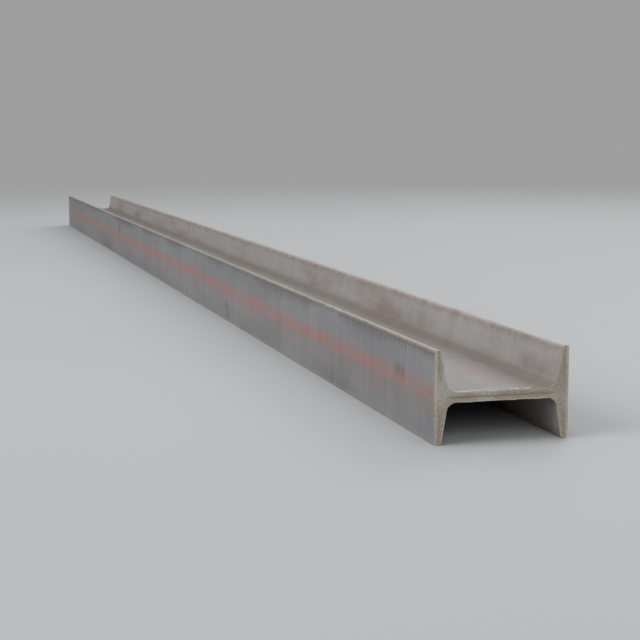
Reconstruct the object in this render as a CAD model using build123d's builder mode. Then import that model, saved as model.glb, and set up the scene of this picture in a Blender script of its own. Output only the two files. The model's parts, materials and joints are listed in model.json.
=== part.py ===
from build123d import *
import os

# A hot-rolled steel beam with tapered flanges, sawn square at both ends.
# It lies on its side, as an H seen from the end: the web is level, the two flanges stand
# upright, and it rests on their lower toes. X runs along the beam, Y across the section
# and Z up, with the origin on the ground below the beam's middle. Lengths are in millimetres.

# Driving dimensions
beam_length = 2438.4  # a bar cut to eight feet
section_depth = 101.6  # over the outer faces of both flanges
flange_width = 67.6  # from the lower toe to the upper toe
web_thickness = 7.0
flange_thickness = 7.44  # midway between the web's face and the toe
flange_taper_share = 1 / 6  # rise of the flange's inner face for each step from toe to web
root_radius = 7.4  # where the web runs into a flange
toe_radius = 2.8  # inner edge of a flange's toe
arris_radius = 0.8  # outer edge of a flange, rounded by the rolls

# What follows from them
half_depth = section_depth / 2
half_width = flange_width / 2
half_web = web_thickness / 2
half_reach = (half_width - half_web) / 2  # from the point of mean thickness to the web or the toe
root_thickness = flange_thickness + half_reach * flange_taper_share
toe_thickness = flange_thickness - half_reach * flange_taper_share

# Plane of the section, at the middle of the beam and at the height of the web
section_plane = Plane(origin=(0, 0, half_width), x_dir=(0, 1, 0), z_dir=(1, 0, 0))

with BuildPart() as h_beam:
    with BuildSketch(section_plane) as section:
        # The outline over all, less a channel on each side of the web that widens to the toes
        Rectangle(section_depth, flange_width)
        with BuildLine():
            Polyline(
                (root_thickness - half_depth, half_web),
                (half_depth - root_thickness, half_web),
                (half_depth - toe_thickness, half_width),
                (toe_thickness - half_depth, half_width),
                close=True,
            )
        upper_channel = make_face(mode=Mode.SUBTRACT)
        mirror(upper_channel, about=Plane.XZ, mode=Mode.SUBTRACT)

        # Roots: the two corners on each face of the web
        for level in (1, -2):
            fillet(section.vertices().group_by(Axis.Y)[level], radius=root_radius)

        # Toes: of the four corners at the bottom and at the top, the two in the middle are inner ones
        for level in (0, -1):
            corners = section.vertices().group_by(Axis.Y)[level].sort_by(Axis.X)
            fillet(corners[1:-1], radius=toe_radius)
        for level in (0, -1):
            corners = section.vertices().group_by(Axis.Y)[level].sort_by(Axis.X)
            fillet([corners[0], corners[-1]], radius=arris_radius)

    # The same section runs the whole length, to both ends from the middle
    extrude(amount=beam_length / 2, both=True)

h_beam.part.label = "h_beam"
os.makedirs("parts", exist_ok=True)
export_step(h_beam.part, "parts/h_beam.step")
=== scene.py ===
import json
import math

import bmesh
import bpy
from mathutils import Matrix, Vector

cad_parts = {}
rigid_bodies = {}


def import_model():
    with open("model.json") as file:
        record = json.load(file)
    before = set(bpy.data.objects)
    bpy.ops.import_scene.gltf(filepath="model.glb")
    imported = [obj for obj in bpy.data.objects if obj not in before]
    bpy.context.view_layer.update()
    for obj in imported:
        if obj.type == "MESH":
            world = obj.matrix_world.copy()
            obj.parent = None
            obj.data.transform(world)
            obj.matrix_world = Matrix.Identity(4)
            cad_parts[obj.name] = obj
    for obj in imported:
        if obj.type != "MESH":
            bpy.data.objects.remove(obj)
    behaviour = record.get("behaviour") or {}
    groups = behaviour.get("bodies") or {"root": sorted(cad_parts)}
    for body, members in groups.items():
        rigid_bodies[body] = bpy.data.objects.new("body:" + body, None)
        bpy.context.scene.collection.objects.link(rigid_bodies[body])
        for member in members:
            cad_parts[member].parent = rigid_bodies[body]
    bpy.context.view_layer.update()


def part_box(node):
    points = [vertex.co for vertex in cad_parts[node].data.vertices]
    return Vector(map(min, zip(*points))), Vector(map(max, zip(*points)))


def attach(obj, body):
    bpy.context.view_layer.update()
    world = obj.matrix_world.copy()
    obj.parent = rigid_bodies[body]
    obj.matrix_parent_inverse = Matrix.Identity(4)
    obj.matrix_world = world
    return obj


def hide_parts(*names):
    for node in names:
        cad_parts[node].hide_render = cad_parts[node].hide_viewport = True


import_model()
bpy.context.scene.view_settings.view_transform = "Standard"


# The beam: web and both flanges are one bar of hot-rolled structural steel under mill scale.
# The rolls leave tapered flanges, wide root radii, rounded toes and a skin that is never quite
# flat. Rust has bloomed along the middle of the flanges and handling has nicked their edges.
beam_low, beam_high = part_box("h_beam")
length = beam_high.x - beam_low.x
half_depth = (beam_high.y - beam_low.y) / 2
half_width = (beam_high.z - beam_low.z) / 2
web_height = (beam_high.z + beam_low.z) / 2
end_x = beam_high.x

half_web = 0.0035
mean_flange = 0.00744
taper = 1 / 6
root_radius = 0.0074
toe_radius = 0.0028
arris_radius = 0.0008

half_reach = (half_width - half_web) / 2
root_thickness = mean_flange + half_reach * taper
toe_thickness = mean_flange - half_reach * taper
root_line = half_depth - root_thickness
toe_line = half_depth - toe_thickness
half_corner = (math.pi / 2 + math.atan(taper)) / 2

# Places nearer than this are the same, and a face turned this far towards an axis faces it
near = 0.0001
facing = 0.9


def select_verts(wanted):
    """Selects the vertices whose place is wanted, and nothing else."""
    mesh = bmesh.from_edit_mesh(bpy.context.object.data)
    bpy.ops.mesh.select_mode(type="VERT")
    bpy.ops.mesh.select_all(action="DESELECT")
    for vert in mesh.verts:
        if wanted(vert.co):
            vert.select_set(True)
    mesh.select_flush(True)


def select_edges(wanted):
    """Selects the edges whose two ends are wanted, and nothing else."""
    mesh = bmesh.from_edit_mesh(bpy.context.object.data)
    bpy.ops.mesh.select_mode(type="EDGE")
    bpy.ops.mesh.select_all(action="DESELECT")
    for edge in mesh.edges:
        if wanted(edge.verts[0].co, edge.verts[1].co):
            edge.select_set(True)
    mesh.select_flush_mode()


def select_faces(wanted):
    """Selects the faces whose middle and normal are wanted, and nothing else."""
    mesh = bmesh.from_edit_mesh(bpy.context.object.data)
    bpy.ops.mesh.select_mode(type="FACE")
    bpy.ops.mesh.select_all(action="DESELECT")
    for face in mesh.faces:
        if wanted(face.calc_center_median(), face.normal):
            face.select_set(True)
    mesh.select_flush_mode()


def along_beam(a, b):
    return abs(a.y - b.y) < near and abs(a.z - b.z) < near


# The web comes first, then each flange is drawn out of its edge and up and down to the toes
bpy.ops.object.select_all(action="DESELECT")
bpy.ops.mesh.primitive_cube_add(size=1)
beam = bpy.context.object
beam.name = "rolled_beam"
bpy.ops.object.mode_set(mode="EDIT")
bpy.ops.transform.resize(value=(length, 2 * root_line, 2 * half_web))
for side in (1, -1):
    select_faces(lambda middle, normal: normal.y * side > facing)
    bpy.ops.mesh.extrude_region_move(TRANSFORM_OT_translate={"value": (0, side * root_thickness, 0)})
for side in (1, -1):
    select_faces(lambda middle, normal: normal.z * side > facing and abs(middle.y) > root_line)
    bpy.ops.mesh.extrude_region_move(TRANSFORM_OT_translate={"value": (0, 0, side * 2 * half_reach)})
for side in (1, -1):
    select_verts(lambda co: abs(co.z) > half_width - near and abs(co.y - side * root_line) < near)
    bpy.ops.transform.translate(value=(0, side * (root_thickness - toe_thickness), 0))

# Each end is one face, before the edges are rounded
for side in (1, -1):
    select_faces(lambda middle, normal: normal.x * side > facing)
    bpy.ops.mesh.dissolve_faces()

# Root radii, toe radii and the small rounding of the outer edges. A rounding starts at its radius
# over the tangent of half the corner's angle.
for half_tangent, radius, segments, across, up in (
    (math.tan(half_corner), root_radius, 8, root_line, half_web),
    (math.tan(half_corner), toe_radius, 6, toe_line, half_width),
    (1, arris_radius, 3, half_depth, half_width),
):
    select_edges(
        lambda a, b: along_beam(a, b)
        and abs(abs(a.y) - across) < near
        and abs(abs(a.z) - up) < near
    )
    start = radius / half_tangent
    bpy.ops.mesh.bevel(offset_type="OFFSET", offset=start, segments=segments, affect="EDGES")

# Loops along and across the flat stretches, close together at the ends, so that the skin can be
# worked. The last loop at each end leaves the strip that the saw tore. The length between the ends
# is cut into 101 stretches, and each of those into three.
web_spacing = 0.0031
flange_start = 0.0103
flange_spacing = 0.0023
loops_each_way = 10
lip_depth = 0.0008
end_loops = (lip_depth, 0.0022, 0.006, 0.014)
length_cuts = (100, 2)
worked_end = end_x - end_loops[-1] + near
for step in range(-loops_each_way, loops_each_way + 1):
    bpy.ops.mesh.select_all(action="SELECT")
    bpy.ops.mesh.bisect(plane_co=(0, step * web_spacing, 0), plane_no=(0, 1, 0))
for step in range(loops_each_way):
    for side in (1, -1):
        rise = side * (flange_start + step * flange_spacing)
        bpy.ops.mesh.select_all(action="SELECT")
        bpy.ops.mesh.bisect(plane_co=(0, 0, rise), plane_no=(0, 0, 1))
for back in end_loops:
    for side in (1, -1):
        bpy.ops.mesh.select_all(action="SELECT")
        bpy.ops.mesh.bisect(plane_co=(side * (end_x - back), 0, 0), plane_no=(1, 0, 0))
for cuts in length_cuts:
    select_edges(lambda a, b: along_beam(a, b) and max(abs(a.x), abs(b.x)) < worked_end)
    bpy.ops.mesh.subdivide(number_cuts=cuts)
bpy.ops.mesh.select_all(action="SELECT")
bpy.ops.transform.translate(value=(0, 0, web_height))
bpy.ops.mesh.normals_make_consistent(inside=False)


def name_group(name):
    """Makes a vertex group of what is selected."""
    bpy.ops.object.vertex_group_assign_new()
    bpy.context.object.vertex_groups[-1].name = name


def push(group, size, low, high, strength, level, axis):
    """Moves a vertex group by a cloudy pattern, which runs from 0 at low to 1 at high.

    The move along the axis is the strength times the pattern less the level.
    """
    pattern = bpy.data.textures.new(group, type="CLOUDS")
    pattern.noise_scale = size
    pattern.noise_depth = 2
    pattern.use_color_ramp = True
    pattern.color_ramp.elements[0].position = low
    pattern.color_ramp.elements[0].color = (0, 0, 0, 1)
    pattern.color_ramp.elements[1].position = high
    pattern.color_ramp.elements[1].color = (1, 1, 1, 1)
    bpy.ops.object.modifier_add(type="DISPLACE")
    shift = bpy.context.object.modifiers[-1]
    shift.texture = pattern
    shift.texture_coords = "LOCAL"
    shift.vertex_group = group
    shift.direction = axis
    shift.strength = strength
    shift.mid_level = level
    bpy.ops.object.modifier_apply(modifier=shift.name)


# The skin is a little wavy and the upper edges are nicked, always inwards from the true section
foot = 0.002
edge_depth = 0.0015
wave_depth = 0.0005
wave_size = 0.16
nick_depth = 0.0006
nick_size = 0.016
select_verts(lambda co: abs(co.x) < worked_end and co.z > foot)
name_group("skin")
select_verts(lambda co: abs(co.x) < worked_end and co.z > 2 * half_width - edge_depth)
name_group("edges")
bpy.ops.object.mode_set(mode="OBJECT")
push("skin", wave_size, low=0.15, high=0.5, strength=wave_depth, level=1, axis="NORMAL")
push("edges", nick_size, low=0.2, high=0.36, strength=nick_depth, level=1, axis="Z")


def colour(red, green, blue):
    """A screen colour of 0 to 255 as the linear colour that a shader takes."""
    return (*(((level / 255 + 0.055) / 1.055) ** 2.4 for level in (red, green, blue)), 1)


def put(tree, entry, value):
    """Links a socket to an entry, or sets the entry to a plain value."""
    if isinstance(value, bpy.types.NodeSocket):
        tree.links.new(value, entry)
    else:
        entry.default_value = value


def calc(tree, operation, first, second=0.0):
    node = tree.nodes.new("ShaderNodeMath")
    node.operation = operation
    put(tree, node.inputs[0], first)
    put(tree, node.inputs[1], second)
    return node.outputs[0]


def times(tree, first, *others):
    for other in others:
        first = calc(tree, "MULTIPLY", first, other)
    return first


def total(tree, first, *others):
    for other in others:
        first = calc(tree, "ADD", first, other)
    return first


def gap(tree, value, line):
    """How far a value is from a line, to either side."""
    return calc(tree, "ABSOLUTE", calc(tree, "SUBTRACT", value, line))


def fade(tree, value, low, high, least=0.0, most=1.0):
    """Runs softly from least to most while the value goes from low to high."""
    node = tree.nodes.new("ShaderNodeMapRange")
    node.interpolation_type = "SMOOTHSTEP"
    put(tree, node.inputs["Value"], value)
    put(tree, node.inputs["From Min"], low)
    put(tree, node.inputs["From Max"], high)
    put(tree, node.inputs["To Min"], least)
    put(tree, node.inputs["To Max"], most)
    return node.outputs["Result"]


def noise(tree, place, per_metre, detail=2.0, roughness=0.5, shift=(0, 0, 0)):
    """A cloudy pattern of 0 to 1, with so many clouds to the metre along each axis."""
    scaled = tree.nodes.new("ShaderNodeVectorMath")
    scaled.operation = "MULTIPLY_ADD"
    tree.links.new(place, scaled.inputs[0])
    scaled.inputs[1].default_value = per_metre
    scaled.inputs[2].default_value = shift
    node = tree.nodes.new("ShaderNodeTexNoise")
    node.inputs["Scale"].default_value = 1
    node.inputs["Detail"].default_value = detail
    node.inputs["Roughness"].default_value = roughness
    tree.links.new(scaled.outputs[0], node.inputs["Vector"])
    return node.outputs["Fac"]


def sway(tree, value, gain):
    """The swing of a noise about its middle, times a gain."""
    return times(tree, calc(tree, "SUBTRACT", value, 0.5), gain)


def blend(tree, share, first, second):
    """The first colour where the share is 0, and the second where it is 1."""
    node = tree.nodes.new("ShaderNodeMix")
    node.data_type = "RGBA"
    put(tree, node.inputs[0], share)
    put(tree, node.inputs[6], first)
    put(tree, node.inputs[7], second)
    return node.outputs[2]


def shade(tree, paint, tone):
    """A colour made darker by a tone under 1, or paler by one over 1."""
    node = tree.nodes.new("ShaderNodeVectorMath")
    node.operation = "SCALE"
    tree.links.new(paint, node.inputs[0])
    put(tree, node.inputs["Scale"], tone)
    return node.outputs[0]


def bump(tree, height, distance):
    """The normals of a surface whose pattern stands proud by a distance in metres."""
    node = tree.nodes.new("ShaderNodeBump")
    node.inputs["Strength"].default_value = 1
    node.inputs["Distance"].default_value = distance
    tree.links.new(height, node.inputs["Height"])
    return node.outputs["Normal"]


def new_material(name):
    """A material, its tree, its shader and the place of each point on the piece."""
    material = bpy.data.materials.new(name)
    material.use_nodes = True
    tree = material.node_tree
    place = tree.nodes.new("ShaderNodeTexCoord").outputs["Object"]
    return material, tree, tree.nodes["Principled BSDF"], place


def split(tree, place):
    """The X, Y and Z of each place."""
    node = tree.nodes.new("ShaderNodeSeparateXYZ")
    tree.links.new(place, node.inputs[0])
    return node.outputs


# Rust in small freckles, loose and in clusters, for any steel surface
rust_freckles = bpy.data.node_groups.new("rust_freckles", "ShaderNodeTree")
rust_freckles.interface.new_socket("Place", in_out="INPUT", socket_type="NodeSocketVector")
rust_freckles.interface.new_socket("Mask", in_out="OUTPUT", socket_type="NodeSocketFloat")
tree = rust_freckles
place = tree.nodes.new("NodeGroupInput").outputs["Place"]
cluster = fade(tree, noise(tree, place, (14, 22, 22), 3), 0.45, 0.72)
freckle = noise(tree, place, (420, 420, 420), 3, 0.65, (3, 1, 7))
limit = calc(tree, "SUBTRACT", 0.68, times(tree, cluster, 0.14))
mask = fade(tree, calc(tree, "SUBTRACT", freckle, limit), 0, 0.06)
tree.links.new(mask, tree.nodes.new("NodeGroupOutput").inputs["Mask"])


def freckles(tree, place):
    """The mask of the freckles, 1 where one lies."""
    node = tree.nodes.new("ShaderNodeGroup")
    node.node_tree = rust_freckles
    tree.links.new(place, node.inputs["Place"])
    return node.outputs["Mask"]


# The scale is blue-grey, with grain across it where it cooled and streaks from the rolls along it
dark_scale = colour(124, 124, 126)
pale_scale = colour(135, 135, 137)
mill_scale, tree, shader, place = new_material("mill_scale")
axes = split(tree, place)
height = calc(tree, "SUBTRACT", axes["Z"], web_height)
off_web = calc(tree, "ABSOLUTE", height)
off_middle = calc(tree, "ABSOLUTE", axes["Y"])
to_toe = calc(tree, "SUBTRACT", half_width, off_web)
outer_start = half_depth - 0.0022
outer_full = half_depth - 0.0012
outer = fade(tree, off_middle, outer_start, outer_full)
inner = calc(tree, "SUBTRACT", 1, outer)

cloud = noise(tree, place, (5, 22, 22), 5, 0.6)
grain = noise(tree, place, (210, 18, 18), 4, 0.7)
streak = noise(tree, place, (3, 300, 300), 3, 0.6)
speck = noise(tree, place, (620, 620, 620), 2, 0.6)
skin = blend(tree, fade(tree, cloud, 0.34, 0.66), dark_scale, pale_scale)

# The inner faces stayed damp: warmer, with patches of red-brown rust. The flanges' inner faces are also
# painted paler as a painted highlight, and the web's top darker as painted shade against the light from
# above
flange_side_painted_light = colour(166, 163, 160)
web_side_painted_shade = colour(124, 120, 117)
patch_rust = colour(130, 106, 98)
patch = fade(tree, noise(tree, place, (9, 30, 30), 6, 0.62, (5, 2, 8)), 0.48, 0.7)
# Painted highlight on the flanges' inner faces, painted shade on the web's top
side_light_and_shade = blend(tree, fade(tree, off_web, 0.0095, 0.005), flange_side_painted_light, web_side_painted_shade)
skin = blend(tree, times(tree, inner, 0.8), skin, side_light_and_shade)
patch = times(tree, patch, inner, fade(tree, off_web, 0.028, 0.01, 0.3, 0.55))
skin = blend(tree, patch, skin, patch_rust)

# A band of pink-red rust along the middle of each flange, and a fainter one below it
band_rust = colour(157, 117, 112)
drift = sway(tree, noise(tree, place, (3, 0, 0), 2, 0.5, (0, 4, 9)), 0.006)
ragged = total(tree, sway(tree, grain, 0.012), sway(tree, speck, 0.012))
level = total(tree, height, drift, ragged)
bloom = fade(tree, noise(tree, place, (13, 60, 60), 5, 0.65, (2, 6, 1)), 0.3, 0.62, 0.5, 1)
for middle, core, rim, share in ((0.0022, 0.002, 0.0105, 0.85), (-0.0125, 0, 0.0075, 0.3)):
    band = fade(tree, gap(tree, level, middle), rim, core)
    skin = blend(tree, times(tree, band, bloom, outer, share), skin, band_rust)

# Brown runs of dirty water: thin ones in a haze stand up from the lower edge, and a few long
# scratches hang from the upper. A soft dark fringe along the upper edge is partly dirt and partly painted
# shade
run_and_shade_brown = colour(98, 88, 80)
haze_height = 0.04
for sign, seed, sparse, tallest, steady, soft, haze in (
    (1, 11, 0.46, 0.036, 0, 0.008, 0.3),
    # The soft fringe along the upper edge: partly dirt, partly painted shade
    (-1, 17, 0.36, 0.022, 0.5, 0.011, 0),
    (-1, 37, 0.44, 0.03, 0, 0.004, 0.1),
):
    area = fade(tree, noise(tree, place, (4.5, 0, 0), 2, 0.5, (seed, 2, 5)), sparse, sparse + 0.2)
    spike = fade(tree, noise(tree, place, (150, 0, 0), 4, 0.75, (seed, 7, 3)), 0.42, 0.72, steady, 1)
    reach = times(tree, area, spike, tallest)
    from_edge = total(tree, times(tree, height, sign), half_width)
    run = fade(tree, calc(tree, "SUBTRACT", reach, from_edge), -0.001, soft)
    run = times(tree, run, fade(tree, speck, 0.3, 0.6, 0.3, 0.7))
    mist = times(tree, area, fade(tree, from_edge, haze_height, 0, 0, haze))
    mist = times(tree, mist, fade(tree, grain, 0.3, 0.6, 0.5, 1))
    skin = blend(tree, times(tree, calc(tree, "MAXIMUM", run, mist), outer), skin, run_and_shade_brown)

# Handling left a few dark scuffs on the outer faces, each a cluster of short upright smears. They
# lie the other way round on the right flange.
scuff_brown = colour(98, 90, 84)
smear = sway(tree, noise(tree, place, (120, 40, 40), 4, 0.65, (4, 8, 2)), 5)
along = times(tree, axes["X"], calc(tree, "SIGN", axes["Y"]))
for from_front, rise, half_length, half_height in (
    (0.08, 0.007, 0.016, 0.008),
    (0.7, -0.021, 0.02, 0.014),
    (1.6, 0.014, 0.02, 0.01),
):
    off_along = calc(tree, "DIVIDE", gap(tree, along, from_front - end_x), half_length)
    off_rise = calc(tree, "DIVIDE", gap(tree, height, rise), half_height)
    off_scuff = total(tree, calc(tree, "POWER", off_along, 2), calc(tree, "POWER", off_rise, 2))
    scuff = fade(tree, total(tree, off_scuff, smear), 1, -0.2)
    skin = blend(tree, times(tree, scuff, outer, 0.55), skin, scuff_brown)

# A dark line runs a little way in from the upper edge
edge_line = colour(100, 91, 84)
line_depth = 0.0032
worn = noise(tree, place, (60, 200, 200), 4, 0.65, (1, 1, 4))
line = fade(tree, gap(tree, to_toe, line_depth), 0.0014, 0.0003)
line = times(tree, line, outer, fade(tree, height, -0.01, 0.01), fade(tree, worn, 0.4, 0.6, 0.1, 0.6))
skin = blend(tree, line, skin, edge_line)

# Scale is worn off the toes' corners and torn off along the ends, so bare steel shows there
bare_edge = colour(151, 143, 135)
upper_wear = 0.0022
lower_wear = 0.0042
bare_depth = fade(tree, height, 0.01, -0.01, upper_wear, lower_wear)
bare = times(tree, fade(tree, to_toe, bare_depth, 0.0008), fade(tree, worn, 0.3, 0.6, 0.35, 0.85))
skin = blend(tree, bare, skin, bare_edge)
torn_edge = colour(160, 153, 142)
torn_depth = 0.0016
to_end = calc(tree, "SUBTRACT", end_x, calc(tree, "ABSOLUTE", axes["X"]))
to_end = total(tree, to_end, sway(tree, worn, 0.004))
skin = blend(tree, fade(tree, to_end, torn_depth, 0.0002, 0, 0.7), skin, torn_edge)

# Brown rust creeps from the toes over the inner faces, more on the low side
toe_rust = colour(128, 95, 77)
rust_reach = 0.009
low_side = fade(tree, height, 0.01, -0.01, 0, 0.45)
damp = total(tree, fade(tree, worn, 0.4, 0.6, 0.12, 0.4), low_side)
damp = times(tree, damp, fade(tree, to_toe, rust_reach, 0.002), fade(tree, to_toe, 0.0004, 0.0018))
skin = blend(tree, times(tree, damp, inner), skin, toe_rust)

# Rusty dirt lies in the roots, and freckles of rust are scattered over all
root_dirt = colour(106, 89, 74)
dirt_reach = 0.0135
freckle_rust = colour(122, 88, 70)
off_root = calc(tree, "SUBTRACT", off_middle, root_line)
off_root = total(tree, calc(tree, "POWER", off_root, 2), calc(tree, "POWER", off_web, 2))
dirt = fade(tree, calc(tree, "SQRT", off_root), dirt_reach, 0.005)
skin = blend(tree, times(tree, dirt, inner, 0.4), skin, root_dirt)
skin = blend(tree, times(tree, freckles(tree, place), 0.42), skin, freckle_rust)

# Grain, streaks and specks stand a little proud, and with upright stains they also shade the skin
relief = total(tree, sway(tree, grain, 0.34), sway(tree, streak, 0.14), sway(tree, speck, 0.24))
stain = noise(tree, place, (62, 7, 7), 4, 0.6, (6, 3, 2))
tone = total(tree, relief, sway(tree, stain, 0.3), 1)
tree.links.new(shade(tree, skin, tone), shader.inputs["Base Color"])
tree.links.new(fade(tree, cloud, 0.3, 0.7, 0.5, 0.64), shader.inputs["Roughness"])
tree.links.new(bump(tree, relief, 0.0006), shader.inputs["Normal"])
shader.inputs["Metallic"].default_value = 0.25
beam.data.materials.append(mill_scale)
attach(beam, "root")
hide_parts("h_beam")


# The beam's ends: cut square by a saw, so bare steel shows, dulled to a tan grey by thin rust.
# The saw's last strokes tore a ragged lip along the web's edges and into the root radii.
tan_steel = colour(145, 137, 124)
grey_steel = colour(158, 158, 151)
bright_grain = colour(182, 175, 164)
dark_grain = colour(102, 92, 80)
sawn_end, tree, shader, place = new_material("sawn_end")
axes = split(tree, place)
height = calc(tree, "SUBTRACT", axes["Z"], web_height)
off_web = calc(tree, "ABSOLUTE", height)
off_middle = calc(tree, "ABSOLUTE", axes["Y"])
in_web = fade(tree, off_middle, root_line + 0.001, root_line - 0.003)

# Torn grains lie along the web and along the flanges
across = noise(tree, place, (0, 460, 900), 4, 0.65)
upright = noise(tree, place, (0, 900, 460), 4, 0.65)
torn = total(tree, times(tree, calc(tree, "SUBTRACT", across, upright), in_web), upright)
zone = noise(tree, place, (3, 30, 30), 3, 0.55, (4, 4, 2))
metal = blend(tree, fade(tree, zone, 0.46, 0.66), tan_steel, grey_steel)
metal = blend(tree, fade(tree, torn, 0.5, 0.72, 0, 0.6), metal, bright_grain)
metal = blend(tree, fade(tree, torn, 0.48, 0.3, 0, 0.6), metal, dark_grain)

# The rims are paler, where the skin was dragged over the edge
pale_rim = colour(178, 172, 160)
outer_rim_width = 0.0024
inner_rim_width = 0.0015
web_rim_width = 0.0012
inner_line = times(tree, calc(tree, "SUBTRACT", off_web, half_web), taper)
inner_line = total(tree, inner_line, root_line)
outer_rim = fade(tree, calc(tree, "SUBTRACT", half_depth, off_middle), outer_rim_width, 0.0008)
inner_rim = fade(tree, calc(tree, "SUBTRACT", off_middle, inner_line), inner_rim_width, 0.0004)
inner_rim = times(tree, inner_rim, fade(tree, off_web, 0.010, 0.013))
web_rim = fade(tree, calc(tree, "SUBTRACT", half_web, off_web), web_rim_width, 0.0003)
web_rim = times(tree, web_rim, fade(tree, off_middle, 0.0365, 0.0335))
rim = calc(tree, "MAXIMUM", calc(tree, "MAXIMUM", outer_rim, inner_rim), web_rim)
rim = times(tree, rim, fade(tree, zone, 0.35, 0.6, 0.45, 0.85), fade(tree, torn, 0.3, 0.55, 0.4, 1))
metal = blend(tree, rim, metal, pale_rim)

# A rust-brown seam along the middle of the web and fainter ones in the flanges, and freckles
seam_rust = colour(118, 90, 75)
web_seam_reach = 0.0012
flange_seam_reach = 0.0009
end_freckle = colour(126, 92, 70)
wobble = sway(tree, noise(tree, place, (0, 90, 0), 3, 0.6), 0.0016)
seam = fade(tree, calc(tree, "ABSOLUTE", total(tree, height, wobble)), web_seam_reach, 0.0003)
seam = times(tree, seam, in_web, 0.55)
lean = sway(tree, noise(tree, place, (0, 0, 70), 3, 0.6, (0, 9, 0)), 0.003)
mid_flange = times(tree, total(tree, inner_line, half_depth), 0.5)
off_seam = total(tree, calc(tree, "SUBTRACT", off_middle, mid_flange), lean)
flange_seam = fade(tree, calc(tree, "ABSOLUTE", off_seam), flange_seam_reach, 0.0002)
flange_seam = times(tree, flange_seam, fade(tree, off_web, 0.009, 0.014, 0, 0.3))
metal = blend(tree, calc(tree, "MAXIMUM", seam, flange_seam), metal, seam_rust)
metal = blend(tree, times(tree, freckles(tree, place), 0.6), metal, end_freckle)
tree.links.new(metal, shader.inputs["Base Color"])
tree.links.new(fade(tree, torn, 0.3, 0.7, 0.6, 0.42), shader.inputs["Roughness"])
tree.links.new(bump(tree, torn, 0.0003), shader.inputs["Normal"])
shader.inputs["Metallic"].default_value = 0.3
beam.data.materials.append(sawn_end)
sawn_slot = len(beam.data.materials) - 1

# The torn lip is bright bare steel, with glints painted into its colour as painted highlights
lip_steel = colour(146, 141, 133)
lip_glint = colour(182, 179, 173)
torn_lip, tree, shader, place = new_material("torn_lip")
glint = noise(tree, place, (500, 500, 500), 3, 0.6)
# Painted highlights: scattered glints on the lip's steel
bright = blend(tree, fade(tree, glint, 0.35, 0.65), lip_steel, lip_glint)
tree.links.new(bright, shader.inputs["Base Color"])
tree.links.new(bump(tree, glint, 0.0003), shader.inputs["Normal"])
shader.inputs["Metallic"].default_value = 0.5
shader.inputs["Roughness"].default_value = 0.42
beam.data.materials.append(torn_lip)
lip_slot = len(beam.data.materials) - 1

bpy.ops.object.mode_set(mode="EDIT")
select_faces(lambda middle, normal: abs(normal.x) > facing and abs(middle.x) > end_x - near)
beam.active_material_index = sawn_slot
bpy.ops.object.material_slot_assign()

# The last strip of the web's skin is cut finely, drawn out and pushed away in ragged scallops,
# higher on the upper side
lip_reach = root_line - 0.002
lip_rise = half_web + 0.0035
lip_thickness = 0.00015
lip_cuts = 4
lip_height = 0.0011
lip_drop = 0.0007
upper_scallop = 0.006
lower_scallop = 0.008


def in_lip(spot, side, up):
    rise = (spot.z - web_height) * up
    return spot.x * side > end_x - lip_depth - near and abs(spot.y) < lip_reach and near < rise < lip_rise


for side in (1, -1):
    for up in (1, -1):
        select_edges(lambda a, b: abs(a.x - b.x) < near and in_lip(a, side, up) and in_lip(b, side, up))
        bpy.ops.mesh.subdivide(number_cuts=lip_cuts)
        select_faces(lambda middle, normal: normal.z * up > 0.5 and in_lip(middle, side, up))
        bpy.ops.mesh.extrude_region_shrink_fatten(TRANSFORM_OT_shrink_fatten={"value": lip_thickness})
        name_group(f"lip {side} {up}")
        bpy.ops.mesh.select_more()
        beam.active_material_index = lip_slot
        bpy.ops.object.material_slot_assign()
bpy.ops.object.mode_set(mode="OBJECT")
for side in (1, -1):
    push(f"lip {side} 1", upper_scallop, low=0.4, high=0.8, strength=lip_height, level=0, axis="Z")
    push(f"lip {side} -1", lower_scallop, low=0.45, high=0.85, strength=-lip_drop, level=0, axis="Z")
bpy.ops.object.shade_smooth_by_angle(angle=math.radians(30))


# The floor: a pale studio sweep, painted matt and a touch cool, that the beam lies on.
# It fades out towards its rim, so that it runs into the grey behind it with no edge.
floor_radius = 12
fade_start = 1.0
fade_end = 4.0
floor_dark = colour(159, 161, 162)
floor_pale = colour(163, 165, 166)
bpy.ops.object.select_all(action="DESELECT")
bpy.ops.mesh.primitive_circle_add(vertices=96, radius=floor_radius, fill_type="NGON", location=(0, 0, 0))
floor = bpy.context.object
floor.name = "studio_floor"
floor_paint, tree, shader, place = new_material("floor_paint")
paint = blend(tree, noise(tree, place, (1.5, 1.5, 1.5), 2), floor_dark, floor_pale)
tree.links.new(paint, shader.inputs["Base Color"])
shader.inputs["Roughness"].default_value = 0.8
shader.inputs["Specular IOR Level"].default_value = 0.2
clear = tree.nodes.new("ShaderNodeBsdfTransparent")
far = tree.nodes.new("ShaderNodeVectorMath")
far.operation = "LENGTH"
tree.links.new(place, far.inputs[0])
join = tree.nodes.new("ShaderNodeMixShader")
tree.links.new(fade(tree, far.outputs["Value"], fade_start, fade_end), join.inputs["Fac"])
tree.links.new(shader.outputs["BSDF"], join.inputs[1])
tree.links.new(clear.outputs["BSDF"], join.inputs[2])
tree.links.new(join.outputs["Shader"], tree.nodes["Material Output"].inputs["Surface"])
floor.data.materials.append(floor_paint)


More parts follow.
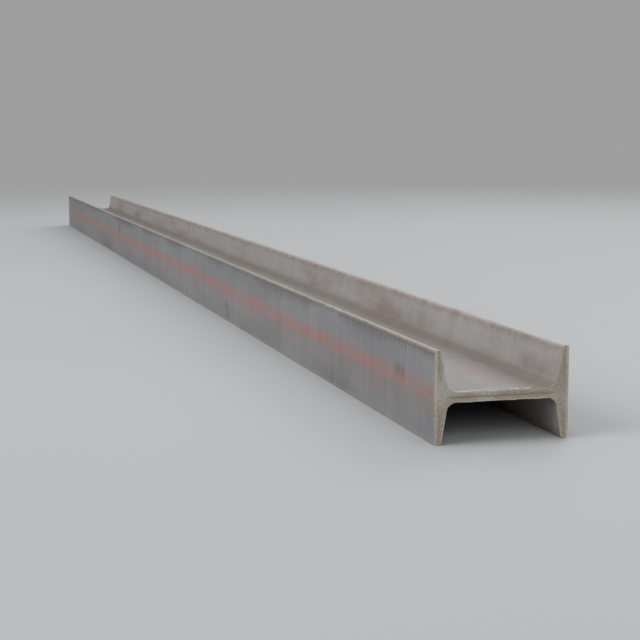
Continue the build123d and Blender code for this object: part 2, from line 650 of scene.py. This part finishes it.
# The studio light: even and white all round, and large soft boxes to the left, before, above and
# behind, all turned to the front half of the beam. The camera sees plain grey behind the floor.
backdrop_grey = colour(158, 158, 158)
room_light = 0.55
lit_spot = Vector((0.7, 0, 0))
world = bpy.data.worlds.new("studio")
bpy.context.scene.world = world
world.use_nodes = True
tree = world.node_tree
seen = tree.nodes["Background"]
seen.inputs["Color"].default_value = backdrop_grey
light = tree.nodes.new("ShaderNodeBackground")
light.inputs["Color"].default_value = (1, 1, 1, 1)
light.inputs["Strength"].default_value = room_light
path = tree.nodes.new("ShaderNodeLightPath")
shown = calc(tree, "MAXIMUM", path.outputs["Is Camera Ray"], path.outputs["Is Glossy Ray"])
shown = calc(tree, "MAXIMUM", shown, path.outputs["Is Transmission Ray"])
choose = tree.nodes.new("ShaderNodeMixShader")
tree.links.new(shown, choose.inputs["Fac"])
tree.links.new(light.outputs["Background"], choose.inputs[1])
tree.links.new(seen.outputs["Background"], choose.inputs[2])
tree.links.new(choose.outputs["Shader"], tree.nodes["World Output"].inputs["Surface"])

for name, spot, wide, power in (
    ("left_box", (1.8, -4.4, 3.2), 3.4, 165),
    ("front_box", (5.6, -0.8, 2.6), 2.8, 90),
    ("top_box", (0.3, 0.2, 4.2), 3.2, 60),
    ("back_box", (-3.6, 3.4, 3.0), 3.4, 110),
):
    bpy.ops.object.light_add(type="AREA", location=spot)
    lamp = bpy.context.object
    lamp.name = name
    lamp.data.size = wide
    lamp.data.energy = power
    lamp.visible_camera = False
    lamp.rotation_euler = (lit_spot - Vector(spot)).to_track_quat("-Z", "Y").to_euler()


# The camera: a metre before the beam's front end, to the left of it and a little above.
# It looks down the beam at a slant, as the photograph does.
before_end = 0.944
left_of_beam = 0.347
camera_height = 0.221
looked_at = Vector((0.632, 0.03, 0.012))
camera_data = bpy.data.cameras.new("camera")
camera = bpy.data.objects.new("camera", camera_data)
bpy.context.scene.collection.objects.link(camera)
camera.location = (end_x + before_end, -half_depth - left_of_beam, camera_height)
camera.rotation_euler = (looked_at - camera.location).to_track_quat("-Z", "Y").to_euler()
camera_data.sensor_width = 36
camera_data.lens = 82
camera_data.clip_start = 0.01
bpy.context.scene.camera = camera
